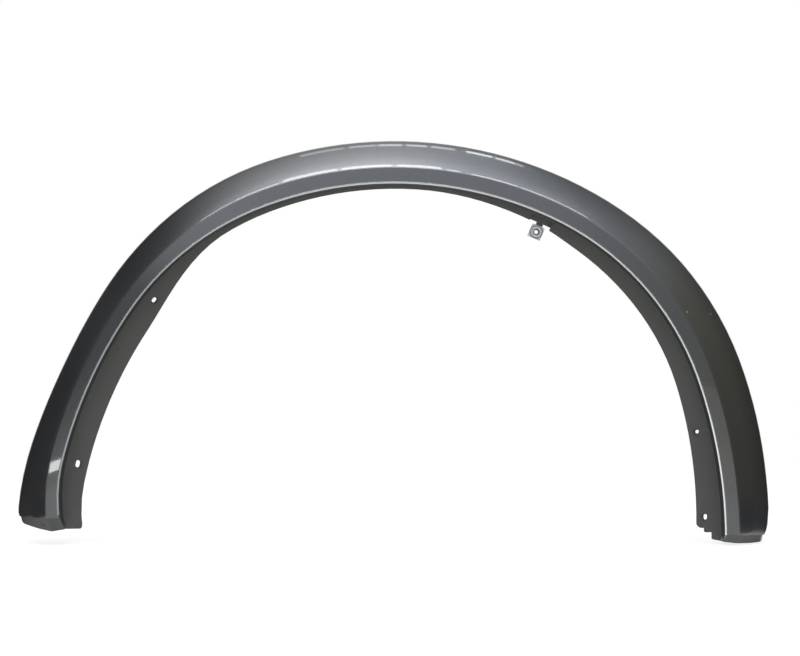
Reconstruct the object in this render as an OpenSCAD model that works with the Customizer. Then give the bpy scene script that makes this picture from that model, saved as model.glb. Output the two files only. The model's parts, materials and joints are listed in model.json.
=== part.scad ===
// Wheel arch trim: one painted plastic moulding that frames a car's wheel opening, with a
// steel clip nut pressed over a tab on its screw flange.
// It stands as it is fitted: X runs along the car, Z is up, and the painted face looks at -Y.
// The lip line is the front edge of the moulding beside the wheel. Every section of the
// moulding is drawn at a distance along that line, out from it (u) and forward of the car's
// body (depth).

/* [Lip line] */
// Lean of the lip line past the vertical at the left foot, in degrees
foot_lean = 7.6; // [0:0.2:15]
// Radius of the lip line at the left foot
foot_r = 200; // [150:10:400]
// Turn of the lip line at the left foot, in degrees
foot_turn = 22; // [12:1:26]
// Radius of the lip line along the left leg
left_leg_r = 604; // [450:2:800]
// Turn of the lip line along the left leg, in degrees
left_leg_turn = 19.5; // [14:0.5:25]
// Radius of the lip line round the left shoulder
left_shoulder_r = 361; // [300:1:450]
// Turn of the lip line round the left shoulder, in degrees
left_shoulder_turn = 36; // [30:0.5:42]
// Radius of the lip line over the crown
crown_r = 479; // [400:1:600]
// Turn of the lip line over the crown, in degrees
crown_turn = 45; // [38:0.5:50]
// Radius of the lip line round the right shoulder
right_shoulder_r = 359; // [300:1:450]
// Turn of the lip line round the right shoulder, in degrees
right_shoulder_turn = 46; // [38:0.5:50]
// Radius of the lip line along the right leg
right_leg_r = 631; // [450:1:800]
// Turn of the lip line along the right leg, in degrees
right_leg_turn = 18.4; // [12:0.2:24]

/* [Section] */
// Wall thickness of the moulding
wall = 3; // [2.4:0.1:3.6]
// Height of the lip in front of the car's body
lip_depth = 50; // [42:1:60]
// Depth of the return wall between the lip and the screw flange
return_depth = 24; // [16:1:28]
// Lean of the return wall towards the wheel over its depth
return_draft = 1; // [0.5:0.1:2]
// How far the crease lies behind the lip
crease_drop = 4; // [2:0.5:7]
// Height of the turned outer edge, up to where it would meet the upper band
shoulder_depth = 14; // [10:0.5:18]
// Lean of the turned outer edge over its height
shoulder_draft = 0.8; // [0.4:0.1:2]
// How far the upper band is hollowed between the crease and the shoulder
hollow = 1.2; // [0.4:0.1:2]
// Radius of the rounded lip
lip_r = 2.2; // [1.5:0.1:3]
// Radius of the crease between the two bands
crease_r = 8; // [2:0.5:12]
// Radius of the outer shoulder
shoulder_r = 14; // [8:1:16]
// Radius of the hollow in the upper band
hollow_r = 85; // [60:5:120]
// Radius in the corner between the return wall and the screw flange
root_r = 1.5; // [0.8:0.1:3]
// Small bevel round the flange's edge and both ends
edge_bevel = 0.7; // [0.3:0.1:1]

/* [Face width] */
// Face width at the left foot
face_w_foot = 61; // [55:0.5:68]
// Face width low on the left leg
face_w_left_leg = 51.5; // [48:0.5:58]
// Face width at the waist of the left leg
face_w_waist = 46.4; // [43:0.2:52]
// Face width over the crown
face_w_crown = 58.4; // [52:0.2:66]
// Face width round the right shoulder
face_w_right_shoulder = 63.4; // [56:0.2:70]
// Face width low on the right leg
face_w_right_leg = 66; // [58:0.5:72]
// Face width at the right foot
face_w_right_foot = 64; // [56:0.5:70]
// Width of the lower band on the left leg
band_w_left = 18; // [14:0.5:22]
// Width of the lower band over the crown
band_w_crown = 21.5; // [16:0.5:25]
// Width of the lower band on the right leg
band_w_right = 19.5; // [15:0.5:24]

/* [Screw flange] */
// Flange width, from the lip line, at the left foot
flange_w_foot = 23; // [20:0.5:26]
// Flange width, from the lip line, along the left leg
flange_w_left_leg = 29.8; // [26:0.2:34]
// Flange width, from the lip line, where the crown starts on the left
flange_w_crown_left = 8; // [6:0.5:12]
// Flange width, from the lip line, at the middle of the crown
flange_w_crown = 5.5; // [5:0.1:10]
// Flange width, from the lip line, at the clip
flange_w_clip = 11.5; // [10.5:0.5:14]
// Flange width, from the lip line, round the right shoulder
flange_w_right_shoulder = 18.5; // [16:0.5:22]
// Flange width, from the lip line, on the right leg
flange_w_right_leg = 25.6; // [23:0.2:30]
// Flange width, from the lip line, at the right foot
flange_w_right_foot = 34; // [30:0.5:38]

/* [Feet] */
// How far the left end wall drops below the face, at the car's body
left_drop = 17.8; // [16:0.2:26]
// How far the flange drops below the face at the left foot
left_flange_drop = 15.7; // [8:0.1:15.7]
// Power of the curve by which the left end wall drops in from the outer edge
left_toe_power = 1.8; // [1:0.05:4]
// Slant of the left end, down towards the outer edge, in degrees
left_slant = 2.4; // [0:0.2:8]
// How far the right end wall drops below the face, at the car's body
right_drop = 10.8; // [10.6:0.2:20]
// How far the flange drops below the face at the right foot
right_flange_drop = 9.6; // [5:0.2:9.8]
// Power of the curve by which the right end wall drops in from the outer edge
right_toe_power = 4; // [1:0.1:6]
// Slant of the right end, down towards the outer edge, in degrees
right_slant = 3; // [0:0.1:8]
// Slant of the flange's end at the right foot, up towards its inner edge, in degrees
right_flange_slant = 10.5; // [0:0.5:14]
// How much less the left end wall drops beside the lip
left_heel = 2.1; // [0:0.1:2.1]
// How much less the right end wall drops beside the lip
right_heel = 1; // [0:0.1:1.2]
// Length over which the end walls drop less beside the lip
heel_l = 13; // [8:1:20]
// Radius of the flange's corner at the left foot
left_flange_corner_r = 5.5; // [1:0.5:8]
// How much narrower the face gets at the left foot's corner
left_corner = 3; // [1:0.5:6]
// How much narrower the face gets at the right foot's corner
right_corner = 8; // [3:0.5:10]
// Length of the rounded corner at the left foot
left_corner_l = 10; // [6:1:16]
// Length of the rounded corner at the right foot
right_corner_l = 38; // [20:1:44]
// Width of the right foot's first flange step, from the lip line
step_1_u = 23.7; // [20:0.1:28]
// Height of the right foot's first flange step above the face's end
step_1_h = 7.9; // [6:0.1:14]
// Radius of the first flange step's corner
step_1_r = 7; // [2:0.5:8]
// Width of the right foot's second flange step, from the lip line
step_2_u = 14; // [10:0.1:18]
// Height of the right foot's second flange step above the face's end
step_2_h = 2.3; // [1:0.1:5]
// Radius of the corners of the second flange step and of the flange's end
step_2_r = 2; // [1:0.2:4]

/* [Fixing holes] */
// Distance from the flange's inner edge to the centre of each hole on the left leg
left_hole_edge = 13.6; // [9:0.2:15]
// Distance from the flange's inner edge to the centre of each hole on the right leg
right_hole_edge = 11.6; // [9:0.2:14]
// Width of the left foot's screw slot
slot_w = 5.4; // [4:0.1:7]
// Length of the left foot's screw slot
slot_l = 9.5; // [8:0.5:14]
// Width of the two shorter screw slots
short_slot_w = 4.6; // [4:0.1:6]
// Length of the two shorter screw slots
short_slot_l = 7.2; // [6:0.2:10]
// Diameter of the round locating hole
round_hole_d = 4.8; // [4:0.1:7]
// Diameter of the shallow seat round each hole
seat_d = 11; // [9:0.5:14]
// Depth of the shallow seat round each hole
seat_h = 0.5; // [0.2:0.1:0.8]
// Distance of the left lower slot from the left end
left_lower_slot_s = 73; // [50:1:120]
// Distance of the left upper slot from the left end
left_upper_slot_s = 315; // [280:1:330]
// Distance of the round hole from the right end
right_upper_hole_s = 137; // [100:1:220]
// Distance of the right lower slot from the right end
right_lower_slot_s = 23; // [21:0.5:40]
// Diameter of the hole in the left end wall
wall_hole_d = 4.6; // [3:0.2:6]
// Distance of the end wall's hole from the lip line
wall_hole_u = 25; // [18:0.5:30]
// Depth of the end wall's hole in front of the car's body
wall_hole_depth = 29.5; // [28:0.5:38]

/* [Clip seat] */
// Distance of the clip along the lip line from the left end
clip_s = 876; // [840:1:900]
// Length of the notch in the flange
notch_l = 28.5; // [24:0.5:34]
// How far the notch's floor lies behind the flange
pocket_depth = 7; // [5:0.5:9]
// Distance of the floor's inner edge from the lip line
pocket_u = 10; // [8:0.2:12]
// Wall thickness of the pocket
pocket_wall = 2.2; // [1.6:0.1:2.8]
// Width of the tab's neck, between the pocket and the clip
tab_neck_w = 9; // [7:0.5:12]
// Width of the tab's head, under the clip
tab_head_w = 14; // [12:0.5:14.5]
// Diameter of the screw hole through the tab
tab_hole_d = 7.4; // [6.4:0.2:8]
// Thickness of the tab
tab_t = 2.5; // [2:0.1:3]

/* [Clip nut] */
// Width of the clip's leaves
clip_w = 17.4; // [15:0.2:20]
// Length of the clip's leaves
clip_l = 17.6; // [15:0.2:20]
// Sheet thickness of the clip
clip_t = 0.9; // [0.6:0.1:1.2]
// Corner radius of the clip's leaves
clip_corner_r = 2.6; // [1.5:0.1:4]
// Gap between the pocket's floor and the clip's open end
clip_gap = 3.4; // [2:0.2:5]
// Free space between each leaf and the tab
clip_play = 0.05; // [0.02:0.01:0.1]
// Diameter of the hole in the front leaf
clip_hole_d = 7; // [6.4:0.2:8]
// Diameter of the pressed ring round the front hole
clip_ring_d = 11; // [10:0.2:12.4]
// Height of the pressed ring
clip_ring_h = 0.6; // [0.3:0.1:0.9]
// Core diameter of the drawn thread
thread_core_d = 5; // [4:0.1:5.4]
// Wall thickness of the drawn thread
thread_wall = 0.9; // [0.6:0.1:1.2]
// Length of the drawn thread behind the rear leaf
thread_l = 3.2; // [2:0.2:5]

/* [Ribs] */
// Distance between the gusset ribs behind the lip
rib_pitch = 112; // [80:2:180]
// Thickness of the gusset ribs
rib_t = 2; // [1.4:0.1:2.6]

/* [Hidden] */
$fn = 48;

// How the section is stepped: points in each rounded corner of the profile
shoulder_steps = 5;
hollow_steps = 3;
crease_steps = 3;
lip_steps = 4;
root_steps = 2;
// Sections along the lip line between the two end zones
line_steps = 76;
// Length of the end zones where the closed ends are formed
end_zone = 12;
// Length over which the feet are levelled
blend_l = 60;
// Smallest radius inside the wall's corners
least_r = 0.4;
// Extra length that keeps a cut clear of the face it starts on
cut = 1;

// The clip's leaves lie on both sides of the tab, joined by a round bend at its free end
gap_t = tab_t + 2 * clip_play;
clip_open_u = pocket_u + clip_gap;
bend_r = gap_t / 2 + clip_t;
leaf_l = clip_l - bend_r;
nut_u = clip_open_u + clip_w / 2;

crease_depth = lip_depth - crease_drop;
flange_depth = lip_depth - return_depth;
floor_depth = flange_depth - pocket_depth;

arcs = [
    [foot_r, foot_turn],
    [left_leg_r, left_leg_turn],
    [left_shoulder_r, left_shoulder_turn],
    [crown_r, crown_turn],
    [right_shoulder_r, right_shoulder_turn],
    [right_leg_r, right_leg_turn]
];

// Start of each arc as [x, z, heading, distance], from the left foot over the crown
function arc_starts(i, x, z, h, s) =
    i == len(arcs) ? [[x, z, h, s]] :
    let (
        r = arcs[i][0],
        turned = h - arcs[i][1],
        next_x = x + r * sin(h) - r * sin(turned),
        next_z = z - r * cos(h) + r * cos(turned)
    )
    concat([[x, z, h, s]],
        arc_starts(i + 1, next_x, next_z, turned, s + r * arcs[i][1] * PI / 180));

starts = arc_starts(0, 0, 0, 90 + foot_lean, 0);
line_l = starts[len(arcs)][3];
end_heading = starts[len(arcs)][2];

function arc_at(s, i = 0) =
    (i == len(arcs) - 1 || s < starts[i + 1][3]) ? i : arc_at(s, i + 1);

function heading(s) =
    let (i = arc_at(s))
    starts[i][2] - (s - starts[i][3]) / arcs[i][0] * 180 / PI;

// Place on the drawing plane, s along the lip line and u out from it
function place(s, u) =
    let (i = arc_at(s), r = arcs[i][0], h0 = starts[i][2], h = heading(s))
    [starts[i][0] + r * sin(h0) - (r + u) * sin(h), starts[i][1] - r * cos(h0) + (r + u) * cos(h)];

// Smooth curve through [share of the line, value] pairs, with no overshoot
function rise(p, i) = (p[i + 1][1] - p[i][1]) / (p[i + 1][0] - p[i][0]);

function slope(p, i) =
    i == 0 ? rise(p, 0) :
    i == len(p) - 1 ? rise(p, i - 1) :
    let (a = rise(p, i - 1), b = rise(p, i))
    a * b <= 0 ? 0 : 2 * a * b / (a + b);

function smooth(p, x, i = 0) =
    (i < len(p) - 2 && x > p[i + 1][0]) ? smooth(p, x, i + 1) :
    let (
        w = p[i + 1][0] - p[i][0],
        t = min(1, max(0, (x - p[i][0]) / w)),
        t2 = t * t,
        t3 = t2 * t
    )
    (2 * t3 - 3 * t2 + 1) * p[i][1] + (t3 - 2 * t2 + t) * w * slope(p, i)
        + (3 * t2 - 2 * t3) * p[i + 1][1] + (t3 - t2) * w * slope(p, i + 1);

face_stations = [
    [0, face_w_foot],
    [0.055, face_w_left_leg],
    [0.145, face_w_waist],
    [0.4, face_w_crown],
    [0.65, face_w_crown],
    [0.77, face_w_right_shoulder],
    [0.89, face_w_right_leg],
    [1, face_w_right_foot]
];
band_stations = [
    [0, band_w_left],
    [0.2, band_w_left],
    [0.4, band_w_crown],
    [0.7, band_w_crown],
    [1, band_w_right]
];
flange_stations = [
    [0, flange_w_foot],
    [0.05, flange_w_left_leg],
    [0.2, flange_w_left_leg],
    [0.325, flange_w_crown_left],
    [0.515, flange_w_crown],
    [0.625, flange_w_clip],
    [0.68, flange_w_right_shoulder],
    [0.85, flange_w_right_leg],
    [1, flange_w_right_foot]
];

// How far a quarter round of size a by l has cut the corner at distance x
function corner_cut(x, a, l) =
    x >= l ? 0 : a * (1 - sqrt(1 - pow(1 - max(0, x) / l, 2)));

function face_w(s) =
    smooth(face_stations, s / line_l) - corner_cut(s, left_corner, left_corner_l)
        - corner_cut(line_l - s, right_corner, right_corner_l);

function flange_w(s) = smooth(flange_stations, s / line_l);

function band_w(s) = smooth(band_stations, s / line_l);

// Rounded corner at b between a and c, as n + 1 points
function turn_between(a, b, c) =
    let (p = b - a, q = c - b)
    atan2(p[0] * q[1] - p[1] * q[0], p[0] * q[0] + p[1] * q[1]);

function rotated(v, a) = [v[0] * cos(a) - v[1] * sin(a), v[0] * sin(a) + v[1] * cos(a)];

function rounded(a, b, c, r, n) =
    let (
        turn = turn_between(a, b, c),
        half = tan(abs(turn) / 2),
        reach = min(r * half, 0.45 * norm(b - a), 0.45 * norm(c - b)),
        ahead = (b - a) / norm(b - a),
        inward = rotated(ahead, sign(turn) * 90) * (reach / half),
        centre = b - ahead * reach + inward
    )
    [for (k = [0:n]) centre + rotated(-inward, turn * k / n)];

// Corners of the profile's outside, in u and depth, from the car's body to the flange's edge
function corners(s) =
    let (
        w = face_w(s),
        shoulder = [w - shoulder_draft, shoulder_depth],
        crease = [band_w(s), crease_depth],
        along = (crease - shoulder) / norm(crease - shoulder),
        middle = (shoulder + crease) / 2 + rotated(along, 90) * hollow
    )
    [
        [w, 0],
        shoulder,
        middle,
        crease,
        [0, lip_depth],
        [-return_draft, flange_depth],
        [-flange_w(s), flange_depth]
    ];

// The same corners moved into the wall by t
function inset_corner(p, i, t) =
    let (
        before = rotated((p[i] - p[i - 1]) / norm(p[i] - p[i - 1]), 90),
        after = rotated((p[i + 1] - p[i]) / norm(p[i + 1] - p[i]), 90)
    )
    p[i] + t * (before + after) / (1 + before * after);

function inset_corners(p, t) = concat(
    [[p[0][0] - t, 0]],
    [for (i = [1:len(p) - 2]) inset_corner(p, i, t)],
    [[p[len(p) - 1][0], flange_depth - t]]
);

// Radius of a corner that bulges (1) or hollows (-1) once it is moved in by t
function inset_r(r, t, bulge) = max(least_r, r - bulge * t);

// One side of the wall at s, t inside the painted surface; facing is 1 outside, -1 inside
function profile(s, t, facing) =
    let (q = inset_corners(corners(s), t), edge = q[len(q) - 1])
    concat(
        [q[0]],
        rounded(q[0], q[1], q[2], inset_r(shoulder_r, t, 1), shoulder_steps),
        rounded(q[1], q[2], q[3], inset_r(hollow_r, t, -1), hollow_steps),
        rounded(q[2], q[3], q[4], inset_r(crease_r, t, 1), crease_steps),
        rounded(q[3], q[4], q[5], inset_r(lip_r, t, 1), lip_steps),
        rounded(q[4], q[5], q[6], inset_r(root_r, t, -1), root_steps),
        [edge + [edge_bevel, 0], edge - [0, facing * edge_bevel]]
    );

// Points on one side, the last point of the lip and the first of the root
side_n = shoulder_steps + hollow_steps + crease_steps + lip_steps + root_steps + 8;
lip_end = shoulder_steps + hollow_steps + crease_steps + lip_steps + 4;
root = lip_end + 1;
loop_n = 2 * side_n;

stations = concat(
    [0, edge_bevel, end_zone / 2.4],
    [for (i = [0:line_steps]) end_zone + i * (line_l - 2 * end_zone) / line_steps],
    [line_l - end_zone / 2.4, line_l - edge_bevel, line_l]
);
last = len(stations) - 1;

// Ends: 0 is the left one and 1 the right one, with the way along the line that leads out
function out_way(e) = e == 0 ? -1 : 1;
function end_s(e) = e == 0 ? 0 : line_l;
function near_end(s) = s < line_l / 2 ? 0 : 1;
function from_end(s) = min(s, line_l - s);
function drop(e) = e == 0 ? left_drop : right_drop;
function toe_power(e) = e == 0 ? left_toe_power : right_toe_power;
function flange_drop(e) = e == 0 ? left_flange_drop : right_flange_drop;
function heel(e) = e == 0 ? left_heel : right_heel;
function flange_rise(e) = e == 0 ? 0 : tan(right_flange_slant);
function end_r(e) = e == 0 ? foot_r : right_leg_r;
function level(e) = -1 / tan(e == 0 ? starts[0][2] : end_heading);
function slant(e) = tan(e == 0 ? left_slant : right_slant);

// How far the cut of a foot lies along the line at u, level beside the wheel and slanted
// outside the lip
function foot_cut(e, u) = u * level(e) + out_way(e) * max(0, u) * slant(e);

// Length along the lip line that stands for a drop at u, where the arc is longer or shorter
function line_length(e, u, drop) = drop * end_r(e) / (end_r(e) + u);

function flange_reach(e, u) =
    line_length(e, u, flange_drop(e) + min(0, u) * flange_rise(e));

// How far a point of the section lies along the line from its station: the feet are cut
// level, the flange reaches past the face, and the cavity stops short by the end wall
function along_line(s, u, depth, i, facing) =
    let (
        e = near_end(s),
        x = from_end(s),
        fade = x < blend_l ? pow(1 - x / blend_l, 2) : 0,
        sunk = i > lip_end ? min(1, (lip_depth - depth) / return_depth) : 0,
        stop = (facing < 0 && i <= root && x < end_zone) ? wall * (1 - x / end_zone) : 0
    )
    s + fade * foot_cut(e, u) + out_way(e) * (fade * sunk * flange_reach(e, u) - stop);

function in_space(s, u, depth) = let (p = place(s, u)) [p[0], -depth, p[1]];

// Closed loop of points round the wall at one station
function ring(s) =
    let (
        bevel = from_end(s) == 0 ? edge_bevel : 0,
        outside = profile(s, bevel, 1),
        inside = profile(s, wall, -1)
    )
    concat(
        [for (i = [0:side_n - 1]) let (p = outside[i])
            in_space(along_line(s, p[0], p[1], i, 1), p[0], p[1])],
        [for (i = [side_n - 1:-1:0]) let (p = inside[i])
            in_space(along_line(s, p[0], p[1], i, -1), p[0], p[1])]
    );

// The closed end: the face's own profile folds down to the car's body in two steps
fold = (lip_depth - flange_depth - root_r) / lip_depth;

function toe_share(e, depth) = 1 - pow(1 - min(1, depth / lip_depth), toe_power(e));

function heel_rise(e, u) = heel(e) * (1 - pow(min(1, max(0, u) / heel_l), 2));

// How far the end wall has dropped below the face where it meets the car's body
function full_drop(e, u, depth) =
    line_length(e, u, drop(e) * toe_share(e, depth) - heel_rise(e, u) + edge_bevel);

function fold_point(e, p, share, back) =
    let (s = end_s(e) + foot_cut(e, p[0]) + out_way(e) * (full_drop(e, p[0], p[1]) * share - back))
    in_space(s, p[0], p[1] * (share == 1 ? 0 : 1 - fold));

function fold_points(e) =
    let (
        outside = profile(end_s(e), edge_bevel, 1),
        inside = profile(end_s(e), wall, -1),
        half_way = flange_drop(e) / (drop(e) - heel(e))
    )
    concat(
        [for (i = [0:lip_end - 1]) fold_point(e, outside[i], half_way, 0)],
        [for (i = [0:lip_end - 1]) fold_point(e, inside[i], half_way, wall)],
        [for (i = [0:lip_end]) fold_point(e, outside[i], 1, 0)],
        [for (i = [0:lip_end]) fold_point(e, inside[i], 1, wall)]
    );

fold_n = 4 * lip_end + 2;
skin_points = concat(
    [for (s = stations) each ring(s)],
    fold_points(0),
    fold_points(1)
);

function outer(k, i) = k * loop_n + i;
function inner(k, i) = k * loop_n + loop_n - 1 - i;
function end_ring(e) = e == 0 ? 0 : last;
function fold_start(e) = len(stations) * loop_n + e * fold_n;
function fold_outer(e, i) = i == lip_end ? outer(end_ring(e), root) : fold_start(e) + i;
function fold_inner(e, i) =
    i == lip_end ? inner(end_ring(e), root) : fold_start(e) + lip_end + i;
function back_outer(e, i) = fold_start(e) + 2 * lip_end + i;
function back_inner(e, i) = fold_start(e) + 3 * lip_end + 1 + i;

function quad(a, b, c, d) = [[a, b, c], [a, c, d]];

function flipped(faces) = [for (f = faces) [f[0], f[2], f[1]]];

// Faces that close one end, wound for the left end
function end_faces(e) =
    let (k = end_ring(e))
    concat(
        [for (i = [0:lip_end - 1]) each concat(
            quad(outer(k, i), outer(k, i + 1), fold_outer(e, i + 1), fold_outer(e, i)),
            quad(fold_outer(e, i), fold_outer(e, i + 1), back_outer(e, i + 1), back_outer(e, i)),
            quad(back_outer(e, i), back_outer(e, i + 1), back_inner(e, i + 1), back_inner(e, i)),
            quad(back_inner(e, i), back_inner(e, i + 1), fold_inner(e, i + 1), fold_inner(e, i)),
            quad(fold_inner(e, i), fold_inner(e, i + 1), inner(k, i + 1), inner(k, i))
        )],
        quad(outer(k, 0), fold_outer(e, 0), fold_inner(e, 0), inner(k, 0)),
        quad(fold_outer(e, 0), back_outer(e, 0), back_inner(e, 0), fold_inner(e, 0)),
        quad(back_outer(e, lip_end), outer(k, root), inner(k, root), back_inner(e, lip_end)),
        [for (i = [root:side_n - 2]) each
            quad(outer(k, i), outer(k, i + 1), inner(k, i + 1), inner(k, i))]
    );

skin_faces = concat(
    [for (k = [0:last - 1], j = [0:loop_n - 1])
        let (n = (j + 1) % loop_n)
        each quad(k * loop_n + j, (k + 1) * loop_n + j, (k + 1) * loop_n + n, k * loop_n + n)],
    end_faces(0),
    flipped(end_faces(1))
);

// Middle of the whole trim, which is where the origin lies
xs = [for (p = skin_points) p[0]];
ys = [for (p = skin_points) p[1]];
zs = [for (p = skin_points) p[2]];
middle = [(min(xs) + max(xs)) / 2, (min(ys) + max(ys)) / 2, (min(zs) + max(zs)) / 2];

// Puts children at a place on the lip line: X along it, Z out from it, -Y forward
module at_line(s, u = 0) {
    p = place(s, u);
    translate([p[0] - middle[0], -middle[1], p[1] - middle[2]])
        rotate([0, -heading(s), 0])
            children();
}

// Box at a place on the lip line, from u0 to u1 and from depth d0 to d1
module line_box(l, u0, u1, d0, d1) {
    translate([-l / 2, -d1, u0])
        cube([l, d1 - d0, u1 - u0]);
}

module painted_skin() {
    translate(-middle)
        polyhedron(points = skin_points, faces = skin_faces, convexity = 10);
}

// Gusset behind the lip, between the lower band and the return wall
module rib(s) {
    w = band_w(s);
    half = wall / 2;
    at_line(s)
        rotate([180, -90, 0])
            translate([0, 0, -rib_t / 2])
                linear_extrude(rib_t)
                    polygon([
                        [half - return_draft, flange_depth + half],
                        [half, lip_depth - wall],
                        [w, crease_depth - half],
                        [w, crease_depth - wall - half]
                    ]);
}

rib_count = floor((line_l - rib_pitch) / rib_pitch);
rib_start = (line_l - rib_count * rib_pitch) / 2;

module ribs() {
    for (i = [0:rib_count])
        rib(rib_start + i * rib_pitch);
}

// Sunken floor with three walls behind the flange's notch, and the tab that it carries
module clip_seat() {
    outer_l = notch_l + 2 * pocket_wall;
    wall_top = flange_depth - wall / 2;
    back_u = -return_draft;
    tab_end = clip_open_u + leaf_l;
    at_line(clip_s) {
        line_box(outer_l, -pocket_u, back_u, floor_depth - pocket_wall, floor_depth);
        line_box(outer_l, back_u - pocket_wall, back_u, floor_depth - pocket_wall, wall_top);
        for (side = [-1, 1])
            translate([side * (outer_l - pocket_wall) / 2, 0, 0])
                line_box(pocket_wall, -pocket_u, back_u, floor_depth - pocket_wall, wall_top);
        line_box(tab_neck_w, -clip_open_u - cut, -pocket_u + cut, floor_depth - tab_t, floor_depth);
        line_box(tab_head_w, -tab_end, -clip_open_u - cut / 2, floor_depth - tab_t, floor_depth);
    }
}

module tab_hole() {
    at_line(clip_s, -nut_u)
        translate([0, cut - floor_depth + tab_t, 0])
            rotate([90, 0, 0])
                cylinder(d = tab_hole_d, h = tab_t + 2 * cut);
}

module notch() {
    at_line(clip_s)
        line_box(notch_l, -2 * flange_w_clip, -return_draft - pocket_wall,
            flange_depth - wall - cut, flange_depth + cut);
}

// Cuts the flange's corner at x and u round; the flange lies behind it along the line
module corner_cutter(x, u, r) {
    translate([x - r, -flange_depth - cut, u + r])
        difference() {
            translate([0, 0, -r - cut])
                cube([r + cut, wall + 2 * cut, r + cut]);
            rotate([-90, 0, 0])
                cylinder(r = r, h = wall + 2 * cut);
        }
}

// The left foot's flange has one rounded corner
module left_flange_corner() {
    at_line(foot_cut(0, -flange_w_foot) - flange_reach(0, -flange_w_foot))
        mirror([1, 0, 0])
            corner_cutter(0, -flange_w_foot, left_flange_corner_r);
}

// The right foot's flange is cut back in two steps round the sill
module foot_steps() {
    reach = right_drop + 2 * cut;
    at_line(line_l) {
        corner_cutter(-step_1_h, -flange_w(line_l - step_1_h), step_1_r);
        corner_cutter(-step_2_h, -step_1_u, step_2_r);
        corner_cutter(flange_reach(1, -step_2_u), -step_2_u, step_2_r);
        translate([(reach - step_1_h) / 2, 0, 0])
            line_box(reach + step_1_h, -2 * flange_w_right_foot, -step_1_u,
                flange_depth - wall - cut, flange_depth + cut);
        translate([(reach - step_2_h) / 2, 0, 0])
            line_box(reach + step_2_h, -2 * flange_w_right_foot, -step_2_u,
                flange_depth - wall - cut, flange_depth + cut);
    }
}

// Upright hole through the flange, with its shallow seat
module flange_hole(s, edge, d, l) {
    at_line(s, edge - flange_w(s)) {
        for (side = [-1, 1])
            translate([side * (l - d) / 2, -flange_depth + wall + cut, 0])
                rotate([90, 0, 0])
                    cylinder(d = d, h = wall + 2 * cut);
        if (l > d)
            translate([-(l - d) / 2, -flange_depth - cut, -d / 2])
                cube([l - d, wall + 2 * cut, d]);
        translate([0, -flange_depth + seat_h, 0])
            rotate([90, 0, 0])
                cylinder(d = seat_d, h = seat_h + cut);
    }
}

module flange_holes() {
    flange_hole(left_lower_slot_s, left_hole_edge, slot_w, slot_l);
    flange_hole(left_upper_slot_s, left_hole_edge, short_slot_w, short_slot_l);
    flange_hole(line_l - right_upper_hole_s, right_hole_edge, round_hole_d, round_hole_d);
    flange_hole(line_l - right_lower_slot_s, right_hole_edge, short_slot_w, short_slot_l);
}

// Hole square to the left end wall, where the wall runs from the face to the fold
wall_hole_share = (wall_hole_u - band_w_left) / (face_w_foot - left_corner - band_w_left);
wall_hole_face = crease_depth - wall_hole_share * (crease_depth - shoulder_depth);
wall_hole_drop = full_drop(0, wall_hole_u, wall_hole_face);
wall_hole_half = left_flange_drop / (left_drop - left_heel);
wall_slope = wall_hole_drop * wall_hole_half / (wall_hole_face * fold);
wall_hole_reach = (wall_hole_face - wall_hole_depth) * wall_slope;
wall_hole_s = foot_cut(0, wall_hole_u) - wall_hole_reach;

module wall_hole() {
    at_line(wall_hole_s, wall_hole_u)
        translate([0, -wall_hole_depth, 0])
            rotate([0, heading(wall_hole_s) - 90, 0])
                rotate([0, 0, atan(wall_slope)])
                    rotate([0, 90, 0])
                        cylinder(d = wall_hole_d, h = 6 * wall, center = true);
}

module arch_moulding() {
    color([0.27, 0.28, 0.29])
        difference() {
            union() {
                difference() {
                    painted_skin();
                    notch();
                    left_flange_corner();
                    foot_steps();
                }
                ribs();
                clip_seat();
            }
            flange_holes();
            tab_hole();
            wall_hole();
        }
}

// Leaf with two rounded corners at its open end, lying in X and Z
module leaf() {
    straight_w = clip_w - 2 * clip_corner_r;
    rotate([90, 0, 0]) {
        translate([-clip_w / 2, -leaf_l, 0])
            cube([clip_w, leaf_l - clip_corner_r, clip_t]);
        translate([-straight_w / 2, -clip_corner_r - cut, 0])
            cube([straight_w, clip_corner_r + cut, clip_t]);
        for (side = [-1, 1])
            translate([side * straight_w / 2, -clip_corner_r, 0])
                cylinder(r = clip_corner_r, h = clip_t);
    }
}

module fold_bend() {
    translate([-clip_w / 2, 0, -leaf_l])
        rotate([0, 90, 0])
            difference() {
                cylinder(r = bend_r, h = clip_w);
                translate([0, 0, -cut])
                    cylinder(r = gap_t / 2, h = clip_w + 2 * cut);
                translate([-2 * bend_r, -bend_r - cut, -cut])
                    cube([2 * bend_r, 2 * bend_r + 2 * cut, clip_w + 2 * cut]);
            }
}

module clip_nut() {
    nut_z = clip_open_u - nut_u;
    color([0.72, 0.73, 0.74])
        at_line(clip_s, -clip_open_u)
            translate([0, -floor_depth + tab_t / 2, 0])
                difference() {
                    union() {
                        translate([0, -gap_t / 2, 0])
                            leaf();
                        translate([0, bend_r, 0])
                            leaf();
                        fold_bend();
                        translate([0, -gap_t / 2 - clip_t, nut_z])
                            rotate([90, 0, 0])
                                rotate_extrude()
                                    translate([clip_ring_d / 2, 0])
                                        circle(r = clip_ring_h, $fn = 16);
                        translate([0, gap_t / 2, nut_z])
                            rotate([-90, 0, 0])
                                cylinder(d = thread_core_d + 2 * thread_wall, h = clip_t + thread_l);
                    }
                    translate([0, 0, nut_z])
                        rotate([90, 0, 0])
                            cylinder(d = clip_hole_d, h = bend_r + clip_ring_h + cut);
                    translate([0, 0, nut_z])
                        rotate([-90, 0, 0])
                            cylinder(d = thread_core_d, h = bend_r + thread_l + cut);
                }
}

arch_moulding();
clip_nut();
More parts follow.
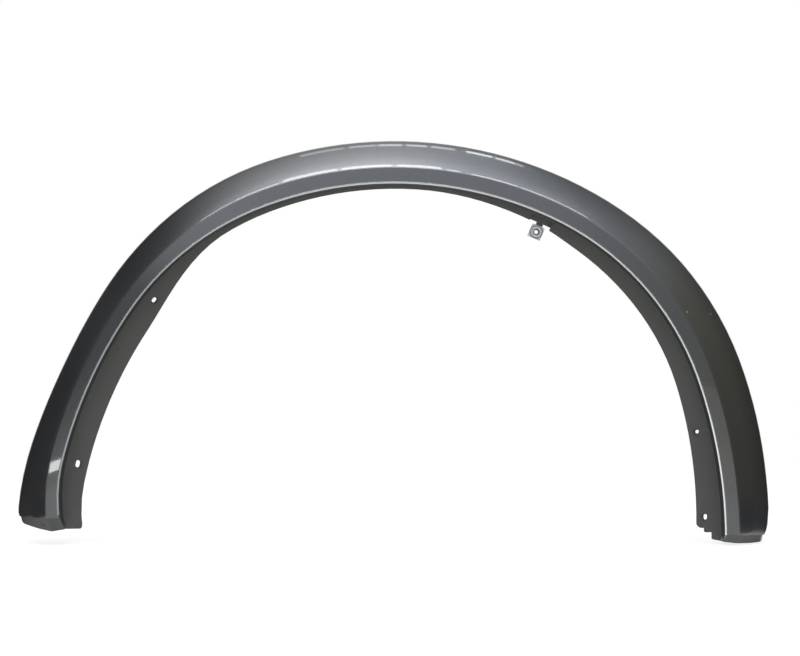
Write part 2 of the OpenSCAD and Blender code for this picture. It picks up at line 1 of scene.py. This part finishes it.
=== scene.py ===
import bpy
import json
import math
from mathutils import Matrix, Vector


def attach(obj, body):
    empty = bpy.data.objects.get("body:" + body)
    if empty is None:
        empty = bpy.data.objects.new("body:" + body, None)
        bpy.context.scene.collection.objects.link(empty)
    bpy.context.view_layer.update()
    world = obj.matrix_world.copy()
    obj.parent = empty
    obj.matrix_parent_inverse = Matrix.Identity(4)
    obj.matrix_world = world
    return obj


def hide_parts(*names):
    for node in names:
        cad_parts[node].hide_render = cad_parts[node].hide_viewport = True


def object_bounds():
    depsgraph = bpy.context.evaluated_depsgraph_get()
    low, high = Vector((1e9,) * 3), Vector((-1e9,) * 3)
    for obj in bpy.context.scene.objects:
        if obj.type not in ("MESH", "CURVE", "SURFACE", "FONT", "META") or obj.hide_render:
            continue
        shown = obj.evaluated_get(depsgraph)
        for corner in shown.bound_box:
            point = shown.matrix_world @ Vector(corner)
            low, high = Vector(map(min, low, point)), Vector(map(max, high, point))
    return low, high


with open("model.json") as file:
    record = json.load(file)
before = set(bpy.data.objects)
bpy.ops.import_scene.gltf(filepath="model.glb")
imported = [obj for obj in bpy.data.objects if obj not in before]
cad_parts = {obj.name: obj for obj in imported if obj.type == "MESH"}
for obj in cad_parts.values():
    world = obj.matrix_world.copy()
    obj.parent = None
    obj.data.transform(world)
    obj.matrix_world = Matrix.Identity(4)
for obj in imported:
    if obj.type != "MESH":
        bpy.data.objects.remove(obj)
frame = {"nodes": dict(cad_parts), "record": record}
cad_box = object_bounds()

# The camera. The photograph was taken level and square to the trim's face, from about 2.6 m,
# with a long lens.
bpy.ops.object.camera_add(
    location=(0.00845, -2.5752, 0.01765), rotation=(math.radians(90), 0, 0))
camera = bpy.context.object
camera.name = "camera"
camera.data.sensor_width = 36
camera.data.lens = 89.65
bpy.context.scene.camera = camera
bpy.context.scene.view_settings.view_transform = "Standard"

# The arch moulding: one injection-moulded piece of ABS, screwed to the car by its flange. Its
# face, lip and turned outer edge are sprayed in the car's metallic grey under a clear coat; the
# screw flange, the end walls and the hollow back stay as moulded.
bpy.ops.object.select_all(action="DESELECT")
moulding = bpy.data.objects.new("moulding", frame["nodes"]["arch_moulding"].data.copy())
bpy.context.scene.collection.objects.link(moulding)
moulding.select_set(True)
bpy.context.view_layer.objects.active = moulding
bpy.ops.object.mode_set(mode="EDIT")
bpy.ops.mesh.select_all(action="SELECT")
bpy.ops.mesh.remove_doubles(threshold=0.00001)
bpy.ops.object.mode_set(mode="OBJECT")
bpy.ops.object.shade_smooth_by_angle(angle=math.radians(40))
bpy.ops.object.modifier_add(type="WEIGHTED_NORMAL")
moulding.modifiers[-1].keep_sharp = True
bpy.ops.object.modifier_apply(modifier=moulding.modifiers[-1].name)

# The lip line that the moulding follows, as in the CAD model: arcs that run into one another,
# from the left foot over the crown to the right foot. It starts a little way in from the
# trim's left end and up from its lowest edge.
LIP_START_IN, LIP_START_UP = 0.060778, 0.034917
LIP_HEADING = math.radians(97.6)
# [radius, degrees by which the arc turns]
LIP_ARCS = [(0.200, 22), (0.604, 19.5), (0.361, 36), (0.479, 45), (0.359, 46), (0.631, 18.4)]
x, z, heading = cad_box[0].x + LIP_START_IN, cad_box[0].z + LIP_START_UP, LIP_HEADING
lip_arcs = []
lip_length = 0
for radius, degrees in LIP_ARCS:
    turn = math.radians(degrees)
    cx, cz = x + radius * math.sin(heading), z - radius * math.cos(heading)
    lip_arcs.append((cx, cz, radius, heading, turn, lip_length))
    lip_length += radius * turn
    heading -= turn
    x, z = cx - radius * math.sin(heading), cz + radius * math.cos(heading)


def on_lip_line(x, z):
    """How far a place lies along the lip line and out from it, and the way that leads out."""
    best = None
    for cx, cz, radius, heading, turn, start in lip_arcs:
        angle = math.atan2(z - cz, x - cx)
        gone = (heading + math.pi / 2 - angle + math.pi) % (2 * math.pi) - math.pi
        miss = max(0, -gone, gone - turn)
        if best is None or miss < best[0]:
            out = math.hypot(x - cx, z - cz) - radius
            way_out = Vector((math.cos(angle), 0, math.sin(angle)))
            best = (miss, start + gone * radius, out, way_out)
    return best[1:]


def colour(hex_code):
    """An sRGB hex colour as the linear colour that a shader takes."""
    parts = [int(hex_code[i:i + 2], 16) / 255 for i in (1, 3, 5)]
    return [p / 12.92 if p <= 0.04045 else ((p + 0.055) / 1.055) ** 2.4 for p in parts] + [1]


def emptied_tree(owner):
    """The node tree of a material or world, emptied."""
    owner.use_nodes = True
    owner.node_tree.nodes.clear()
    return owner.node_tree


def add(tree, kind, inputs=None, stops=(), **settings):
    """Add one node, with its settings and a ramp's (position, colour) stops, and give each
    input a value or another node's output."""
    new = tree.nodes.new(kind)
    for name, value in settings.items():
        setattr(new, name, value)
    for name, value in (inputs or {}).items():
        if isinstance(value, bpy.types.NodeSocket):
            tree.links.new(value, new.inputs[name])
        else:
            new.inputs[name].default_value = value
    if stops:
        for position, _ in stops[1:-1]:
            new.color_ramp.elements.new(position)
        for stop, (position, tone) in zip(new.color_ramp.elements, stops):
            stop.position, stop.color = position, tone
    return new


def away_from(tree, place, x, z):
    """How far a place lies from the line through x and z that runs from front to back."""
    centred = add(tree, "ShaderNodeMapping", {
        "Vector": place, "Location": (-x, 0, -z), "Scale": (1, 0, 1)})
    length = add(
        tree, "ShaderNodeVectorMath", {0: centred.outputs["Vector"]}, operation="LENGTH")
    return length.outputs["Value"]


# Automotive metallic basecoat under clear lacquer, sprayed on ABS: aluminium flakes in dark
# grey, so it goes pale towards a lamp and nearly black away from it, with sharp reflections
# in the lacquer. Along the tight bend of the lip, a pale and less metallic line is painted in as
# a highlight for the light that the bend catches, paler towards the right foot. Two small pale
# spots are painted on the right leg. The lacquer has orange peel about 5 mm across, and the
# flakes are drawn 1 mm wide so that they show.
# [share of the lip's length, colour of the painted highlight there]
LIP_HIGHLIGHT = [
    (0.0, "#8e9193"), (0.24, "#8e9193"), (0.32, "#a6a9ab"), (0.38, "#b0b3b5"),
    (0.61, "#b7babc"), (0.82, "#c4c6c8"), (0.9, "#e8eaeb"), (1.0, "#e2e4e5")]
# Out from the lip line: where the painted highlight is strongest, and where it has faded out
HIGHLIGHT_PEAK, HIGHLIGHT_END = 0.0007, 0.0019
# Along the lip line: where the painted highlight line starts, past the left end wall
HIGHLIGHT_LINE_START = 0.005
# [x, z, how pale the spot is painted], and the radii where it is palest and where it ends
PALE_SPOTS = [(0.3774, 0.0383, 0.35), (0.4103, 0.0357, 0.2)]
SPOT_CORE, SPOT_EDGE = 0.0006, 0.0020
paint = bpy.data.materials.new("metallic_basecoat_under_lacquer")
tree = emptied_tree(paint)
place = add(tree, "ShaderNodeTexCoord").outputs["Object"]
flakes = add(tree, "ShaderNodeTexVoronoi", {"Vector": place, "Scale": 1000})
basecoat = add(tree, "ShaderNodeMix", {
    "Factor": flakes.outputs["Distance"], "A": colour("#5c5e61"), "B": colour("#4d4f52")},
    data_type="RGBA")
lip_place = add(tree, "ShaderNodeUVMap", uv_map="lip_line").outputs["UV"]
lip_place = add(tree, "ShaderNodeSeparateXYZ", {"Vector": lip_place}).outputs
share = add(tree, "ShaderNodeMath", {0: lip_place["X"], 1: lip_length}, operation="DIVIDE")
# A painted highlight along the lip's bend, paler towards the right foot and less metallic.
lip_highlight = add(
    tree, "ShaderNodeValToRGB", {"Fac": share.outputs[0]},
    stops=[(position, colour(tone)) for position, tone in LIP_HIGHLIGHT])
highlight_falloff = add(tree, "ShaderNodeMapRange", {
    "Value": lip_place["Y"], "From Min": HIGHLIGHT_PEAK, "From Max": HIGHLIGHT_END,
    "To Min": 1.0, "To Max": 0.0})
on_face = add(
    tree, "ShaderNodeMath", {0: lip_place["X"], 1: HIGHLIGHT_LINE_START}, operation="GREATER_THAN")
highlight_and_spots = add(
    tree, "ShaderNodeMath", {0: highlight_falloff.outputs["Result"], 1: on_face.outputs[0]},
    operation="MULTIPLY")
# Two small pale spots painted on the right leg, with the same pale colour as the lip's highlight.
for x, z, paleness in PALE_SPOTS:
    spot = add(tree, "ShaderNodeMapRange", {
        "Value": away_from(tree, place, x, z), "From Min": SPOT_CORE, "From Max": SPOT_EDGE,
        "To Min": paleness, "To Max": 0.0})
    highlight_and_spots = add(
        tree, "ShaderNodeMath", {0: highlight_and_spots.outputs[0], 1: spot.outputs["Result"]},
        operation="MAXIMUM")
tone = add(tree, "ShaderNodeMix", {
    "Factor": highlight_and_spots.outputs[0], "A": basecoat.outputs["Result"], "B": lip_highlight.outputs["Color"]},
    data_type="RGBA")
metal = add(tree, "ShaderNodeMapRange", {
    "Value": highlight_and_spots.outputs[0], "To Min": 0.9, "To Max": 0.1})
peel = add(tree, "ShaderNodeTexNoise", {"Vector": place, "Scale": 200, "Detail": 1})
peel = add(tree, "ShaderNodeBump", {
    "Height": peel.outputs["Fac"], "Strength": 0.02, "Distance": 0.0005})
surface = add(tree, "ShaderNodeBsdfPrincipled", {
    "Base Color": tone.outputs["Result"], "Metallic": metal.outputs["Result"],
    "Roughness": 0.32, "Coat Weight": 1.0, "Coat Roughness": 0.04, "Coat IOR": 1.5,
    "Coat Normal": peel.outputs["Normal"]})
add(tree, "ShaderNodeOutputMaterial", {"Surface": surface.outputs["BSDF"]})

# Black ABS as moulded, with a fine spark-eroded grain that takes the gloss off it. The grain
# is drawn 0.8 mm wide.
grained = bpy.data.materials.new("grained_black_abs")
tree = emptied_tree(grained)
place = add(tree, "ShaderNodeTexCoord").outputs["Object"]
grain = add(tree, "ShaderNodeTexNoise", {"Vector": place, "Scale": 1200, "Detail": 2})
grain = add(tree, "ShaderNodeBump", {
    "Height": grain.outputs["Fac"], "Strength": 0.3, "Distance": 0.0002})
handling = add(tree, "ShaderNodeTexNoise", {"Vector": place, "Scale": 14, "Detail": 4})
tone = add(tree, "ShaderNodeMix", {
    "Factor": handling.outputs["Fac"], "A": colour("#2a2c2a"), "B": colour("#333532")},
    data_type="RGBA")
surface = add(tree, "ShaderNodeBsdfPrincipled", {
    "Base Color": tone.outputs["Result"], "Roughness": 0.55, "IOR": 1.5,
    "Normal": grain.outputs["Normal"]})
add(tree, "ShaderNodeOutputMaterial", {"Surface": surface.outputs["BSDF"]})
moulding.data.materials.clear()
moulding.data.materials.append(paint)
moulding.data.materials.append(grained)

# Where the paint lies: on what looks forward, from the lip's tight bend outwards, and on the
# turned outer edge. FORWARD and SIDEWAYS are parts of a face's normal, out is measured from the
# lip line, and depth from the trim's back.
FORWARD, SIDEWAYS = -0.15, 0.5
PAINT_START_OUT, PAINT_DEPTH = -0.0011, 0.012
OUTER_EDGE_OUT = 0.03
END_WALL_TOP = -0.22
# The upper band is a little hollow: from the crease to the outer shoulder it turns on evenly,
# which the few faces across it can't show by themselves, so its corners get their own normals,
# except close to the feet.
# [depth in mm, degrees by which the normal turns on]
BAND_TURN = [
    (46.4, 0), (45.9, 9.9), (45.3, -0.3), (44.2, -9.9), (31.8, -5.1), (26.4, 1.5), (17.8, 5.6),
    (16.9, 5.6)]
BAND_OUT = 0.012
FOOT_LENGTH = 0.03


def turned_on(normal, way_out, depth):
    """A normal, turned on by what BAND_TURN says for its depth."""
    tilt = math.degrees(math.atan2(normal.dot(way_out), -normal.y))
    for (deep, more), (shallow, next_more) in zip(BAND_TURN, BAND_TURN[1:]):
        if shallow < depth <= deep:
            tilt += next_more + (more - next_more) * (depth - shallow) / (deep - shallow)
    tilt = math.radians(tilt)
    return math.sin(tilt) * way_out - math.cos(tilt) * Vector((0, 1, 0))


back = cad_box[1].y
deepest, shallowest = BAND_TURN[0][0], BAND_TURN[-1][0]
lip_map = moulding.data.uv_layers.new(name="lip_line")
normals = [corner.vector.copy() for corner in moulding.data.corner_normals]
for face in moulding.data.polygons:
    _, out, way_out = on_lip_line(face.center.x, face.center.z)
    forward = face.normal.y < FORWARD
    front = forward and out > PAINT_START_OUT and back - face.center.y > PAINT_DEPTH
    outer_edge = face.normal.dot(way_out) > SIDEWAYS and out > OUTER_EDGE_OUT
    end_wall = face.normal.z < -SIDEWAYS and face.center.z < END_WALL_TOP
    painted = (front or outer_edge) and not end_wall
    face.material_index = 0 if painted else 1
    for corner in face.loop_indices:
        co = moulding.data.vertices[moulding.data.loops[corner].vertex_index].co
        along, out, way_out = on_lip_line(co.x, co.z)
        lip_map.data[corner].uv = (along, out)
        depth = (back - co.y) * 1000
        on_band = shallowest < depth < deepest and out >= BAND_OUT
        off_feet = FOOT_LENGTH < along < lip_length - FOOT_LENGTH
        if painted and forward and on_band and off_feet:
            normals[corner] = turned_on(normals[corner], way_out, depth)
moulding.data.normals_split_custom_set(normals)
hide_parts("arch_moulding")
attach(moulding, "root")

# The clip nut: a strip of spring steel, stamped and folded over the moulding's tab. It is zinc
# plated, a cloudy satin grey, drawn about 3 mm across. Pale and dark rings round its hole are
# painted highlight and shade, for the light that its stamped steps catch by turns.
# [radius from the middle of the hole in centimetres, painted tone of the ring]
PAINTED_RINGS = [
    (0.36, "#5a5d60"), (0.42, "#6a6d70"), (0.49, "#d8dbdd"), (0.62, "#cccfd2"),
    (0.70, "#7c7f82"), (0.84, "#85888b"), (1.0, "#bcbfc2")]
CENTIMETRES = 100
hole = next(m["pos_m"] for m in frame["record"]["mounts"] if m["name"] == "clip_thread")
zinc = bpy.data.materials.new("zinc_plated_spring_steel")
tree = emptied_tree(zinc)
place = add(tree, "ShaderNodeTexCoord").outputs["Object"]
spangle = add(tree, "ShaderNodeTexNoise", {"Vector": place, "Scale": 300, "Detail": 3})
cloudy = add(tree, "ShaderNodeMix", {
    "Factor": spangle.outputs["Fac"], "A": colour("#c8cbce"), "B": colour("#ffffff")},
    data_type="RGBA")
# Rings of painted highlight and shade, by distance from the middle of the hole.
radius = add(
    tree, "ShaderNodeMath", {0: away_from(tree, place, hole[0], hole[2]), 1: CENTIMETRES},
    operation="MULTIPLY")
painted_rings = add(
    tree, "ShaderNodeValToRGB", {"Fac": radius.outputs[0]},
    stops=[(position, colour(tone)) for position, tone in PAINTED_RINGS])
tone = add(tree, "ShaderNodeMix", {
    "Factor": 1.0, "A": painted_rings.outputs["Color"], "B": cloudy.outputs["Result"]},
    data_type="RGBA", blend_type="MULTIPLY")
surface = add(tree, "ShaderNodeBsdfPrincipled", {
    "Base Color": tone.outputs["Result"], "Metallic": 1.0, "Roughness": 0.5})
add(tree, "ShaderNodeOutputMaterial", {"Surface": surface.outputs["BSDF"]})
clip = frame["nodes"]["clip_nut"]
clip.data.materials.clear()
clip.data.materials.append(zinc)

# The floor: a pale matt studio floor, white to the eye, that keeps a soft shadow. Metal and
# lacquer see it white only close below and in front of the trim, on a part that widens
# forwards, and dark outside that.
FLOOR_SIZE, FLOOR_GAP = 2.4, 0.0005
WHITE_END, DARK_START, WIDENING = 0.5, 0.55, 0.8
bpy.ops.object.select_all(action="DESELECT")
bpy.ops.mesh.primitive_plane_add(size=FLOOR_SIZE, location=(0, 0, cad_box[0].z - FLOOR_GAP))
floor = bpy.context.object
floor.name = "floor"
white = bpy.data.materials.new("matt_white_floor")
tree = emptied_tree(white)
ray = add(tree, "ShaderNodeLightPath").outputs
place = add(tree, "ShaderNodeTexCoord").outputs["Object"]
place = add(tree, "ShaderNodeSeparateXYZ", {"Vector": place}).outputs
aside = add(tree, "ShaderNodeMath", {0: place["X"]}, operation="ABSOLUTE")
aside = add(
    tree, "ShaderNodeMath", {0: place["Y"], 1: WIDENING, 2: aside.outputs[0]},
    operation="MULTIPLY_ADD")
whiteness = add(tree, "ShaderNodeMapRange", {
    "Value": aside.outputs[0], "From Min": WHITE_END, "From Max": DARK_START,
    "To Min": 0.9, "To Max": 0.03})
seen = add(
    tree, "ShaderNodeMath", {0: ray["Is Glossy Ray"], 1: whiteness.outputs["Result"]},
    operation="MULTIPLY")
seen = add(
    tree, "ShaderNodeMath", {0: ray["Is Camera Ray"], 1: seen.outputs[0]}, operation="MAXIMUM")
seen = add(
    tree, "ShaderNodeMath", {0: seen.outputs[0], 1: ray["Is Transmission Ray"]},
    operation="MAXIMUM")


def lit_floor(shade, glow):
    """A matt grey that also glows, to stand for the light that falls on a real studio floor."""
    matt = add(tree, "ShaderNodeBsdfDiffuse", {"Color": shade})
    glowing = add(tree, "ShaderNodeEmission", {"Color": (1, 1, 1, 1), "Strength": glow})
    both = add(tree, "ShaderNodeAddShader", {0: matt.outputs[0], 1: glowing.outputs[0]})
    return both.outputs[0]


to_the_eye = lit_floor((0.3, 0.3, 0.3, 1), 0.8)
shade = add(tree, "ShaderNodeMapRange", {
    "Value": ray["Is Glossy Ray"], "To Min": 0.7, "To Max": 0.04})
glow = add(tree, "ShaderNodeMapRange", {
    "Value": ray["Is Glossy Ray"], "To Min": 0.8, "To Max": 0.0})
to_the_trim = lit_floor(shade.outputs["Result"], glow.outputs["Result"])
surface = add(tree, "ShaderNodeMixShader", {0: seen.outputs[0], 1: to_the_trim, 2: to_the_eye})
add(tree, "ShaderNodeOutputMaterial", {"Surface": surface.outputs[0]})
floor.data.materials.append(white)

# The studio round it: dim walls at the sides, a bright soft ceiling, and a background that the
# eye, and metal and lacquer that look straight back at it, see white.
# The radiance is given by how far a direction has turned from the right, over the top, to the
# left, as a share of half a turn, once beside the trim and once ahead of it. A third list says
# by how much the light is turned up or down from ahead of the trim to behind it.
WARM, PLAIN, COOL = (1.02, 1.0, 0.72), (1, 1, 1), (0.96, 0.99, 1.05)
# [share of half a turn, radiance, tint]
BESIDE = [
    (0.0, 0.13, WARM), (0.06, 0.2, WARM), (0.16, 0.43, WARM), (0.25, 0.9, PLAIN),
    (0.30, 0.95, COOL), (0.34, 1.05, COOL), (0.38, 1.5, COOL), (0.44, 2.2, COOL),
    (0.51, 2.9, PLAIN), (0.58, 2.5, PLAIN), (0.65, 1.6, PLAIN), (0.70, 0.7, PLAIN),
    (0.74, 0.22, PLAIN), (0.80, 0.18, PLAIN), (0.85, 0.33, PLAIN), (0.90, 0.18, PLAIN),
    (1.0, 0.12, PLAIN)]
AHEAD = [
    (0.0, 0.5, WARM), (0.015, 0.3, WARM), (0.06, 0.3, WARM), (0.12, 0.35, PLAIN),
    (0.2, 0.55, PLAIN), (0.3, 0.85, COOL), (0.36, 1.0, COOL), (0.64, 1.05, COOL),
    (0.70, 1.4, COOL), (0.745, 1.3, COOL), (0.78, 0.9, PLAIN), (0.82, 0.15, PLAIN),
    (0.9, 0.1, PLAIN), (1.0, 0.15, PLAIN)]
# [share of the way from straight ahead to straight behind, how much of the light is left]
LEFT_OVER = [
    (0.0, 1.0), (0.15, 1.0), (0.31, 1.2), (0.4, 0.8), (0.46, 0.55), (0.53, 0.45), (0.6, 0.35),
    (0.7, 0.3), (1.0, 0.3)]
# A ramp's colours end at 1, so these are the radiance and the share that 1 stands for
MOST_RADIANCE, MOST_LEFT_OVER = 3.0, 1.25
# How far forward a direction has to point to see ahead, and the stretch that blends it in
AHEAD_FROM, AHEAD_BLEND = 0.2, 0.6
BACKGROUND_FROM = 0.7


def light(amount, most, tint=PLAIN):
    """A light's colour in a ramp, where 1 stands for the most that the ramp holds."""
    return [amount / most * part for part in tint] + [1]


world = bpy.data.worlds.new("studio")
bpy.context.scene.world = world
tree = emptied_tree(world)
ray = add(tree, "ShaderNodeLightPath").outputs
way = add(tree, "ShaderNodeTexCoord").outputs["Generated"]
way = add(tree, "ShaderNodeSeparateXYZ", {"Vector": way}).outputs
turned = add(tree, "ShaderNodeMath", {0: way["Z"], 1: way["X"]}, operation="ARCTAN2")
turned = add(
    tree, "ShaderNodeMath", {0: turned.outputs[0], 1: 1 / math.pi}, operation="MULTIPLY")
forwards = add(
    tree, "ShaderNodeMath", {0: way["Y"], 1: -1 / AHEAD_BLEND, 2: -AHEAD_FROM / AHEAD_BLEND},
    operation="MULTIPLY_ADD", use_clamp=True)
backwards = add(
    tree, "ShaderNodeMath", {0: way["Y"], 1: 0.5, 2: 0.5}, operation="MULTIPLY_ADD",
    use_clamp=True)
beside = add(
    tree, "ShaderNodeValToRGB", {"Fac": turned.outputs[0]},
    stops=[(position, light(radiance, MOST_RADIANCE, tint)) for position, radiance, tint in BESIDE])
ahead = add(
    tree, "ShaderNodeValToRGB", {"Fac": turned.outputs[0]},
    stops=[(position, light(radiance, MOST_RADIANCE, tint)) for position, radiance, tint in AHEAD])
left_over = add(
    tree, "ShaderNodeValToRGB", {"Fac": backwards.outputs[0]},
    stops=[(position, light(share, MOST_LEFT_OVER)) for position, share in LEFT_OVER])
soft = add(tree, "ShaderNodeMix", {
    "Factor": forwards.outputs[0], "A": beside.outputs["Color"], "B": ahead.outputs["Color"]},
    data_type="RGBA")
soft = add(tree, "ShaderNodeMix", {
    "Factor": 1.0, "A": soft.outputs["Result"], "B": left_over.outputs["Color"]},
    data_type="RGBA", blend_type="MULTIPLY")
room = add(tree, "ShaderNodeBackground", {
    "Color": soft.outputs["Result"], "Strength": MOST_LEFT_OVER * MOST_RADIANCE})
backdrop = add(tree, "ShaderNodeBackground", {"Color": (1, 1, 1, 1), "Strength": 1.0})
seen = add(
    tree, "ShaderNodeMath", {0: way["Y"], 1: BACKGROUND_FROM}, operation="GREATER_THAN")
seen = add(
    tree, "ShaderNodeMath", {0: ray["Is Glossy Ray"], 1: seen.outputs[0]},
    operation="MULTIPLY")
seen = add(
    tree, "ShaderNodeMath", {0: ray["Is Camera Ray"], 1: seen.outputs[0]}, operation="MAXIMUM")
seen = add(
    tree, "ShaderNodeMath", {0: seen.outputs[0], 1: ray["Is Transmission Ray"]},
    operation="MAXIMUM")
surface = add(tree, "ShaderNodeMixShader", {
    0: seen.outputs[0], 1: room.outputs[0], 2: backdrop.outputs[0]})
add(tree, "ShaderNodeOutputWorld", {"Surface": surface.outputs[0]})


def lamp(name, place, towards, size, radiance):
    """A flat studio lamp of the given size, in metres, that looks at a point."""
    data = bpy.data.lights.new(name, "AREA")
    data.shape = "RECTANGLE"
    data.size, data.size_y = size
    data.energy = radiance * math.pi * size[0] * size[1]
    made = bpy.data.objects.new(name, data)
    bpy.context.scene.collection.objects.link(made)
    made.location = place
    made.rotation_euler = (Vector(towards) - Vector(place)).to_track_quat("-Z", "Y").to_euler()


# Two rows of ceiling tubes, whose gaps break the highlights on the crease and the shoulder,
# and soft panels beside the camera.
# [left end, right end, y, width, radiance]
FRONT_TUBES = [
    (-1.60, -1.20, -0.72, 0.2, 5), (-1.18, -0.78, -0.68, 0.2, 7), (-0.755, -0.37, -0.62, 0.26, 9),
    (-0.35, -0.01, -0.62, 0.26, 10), (0.01, 0.30, -0.62, 0.26, 10), (0.34, 0.42, -0.66, 0.2, 8),
    (0.50, 0.84, -0.74, 0.2, 8), (0.86, 1.50, -0.76, 0.2, 7)]
# [left end, right end, radiance]
REAR_TUBES = [
    (-0.645, -0.34, 3), (-0.304, -0.124, 4), (-0.111, 0.047, 6), (0.074, 0.213, 6),
    (0.24, 0.402, 5), (0.477, 0.662, 9.5), (0.684, 0.834, 8.5), (0.84, 0.90, 4)]
FRONT_TUBES_Z = 2.0
REAR_TUBES_Y, REAR_TUBES_Z, REAR_TUBES_WIDTH = 0.15, 2.2, 0.09
CROWN_Z = 0.2
for number, (x0, x1, y, width, radiance) in enumerate(FRONT_TUBES, 1):
    middle = (x0 + x1) / 2
    lamp(f"front_tube_{number}", (middle, y, FRONT_TUBES_Z), (middle, 0, CROWN_Z),
         (x1 - x0, width), radiance)
for number, (x0, x1, radiance) in enumerate(REAR_TUBES, 1):
    middle = (x0 + x1) / 2
    lamp(f"rear_tube_{number}", (middle, REAR_TUBES_Y, REAR_TUBES_Z), (middle, 0, CROWN_Z),
         (x1 - x0, REAR_TUBES_WIDTH), radiance)
lamp("camera_panel", (0.0, -3.2, 0.0), (0, 0, 0), (0.6, 0.6), 18.0)
lamp("left_lamp", (-1.88, -2.34, -0.14), (-0.43, 0, -0.15), (0.36, 0.09), 14.0)
lamp("right_panel", (2.0, -2.6, -0.1), (0.45, 0, -0.15), (1.2, 0.6), 0.4)
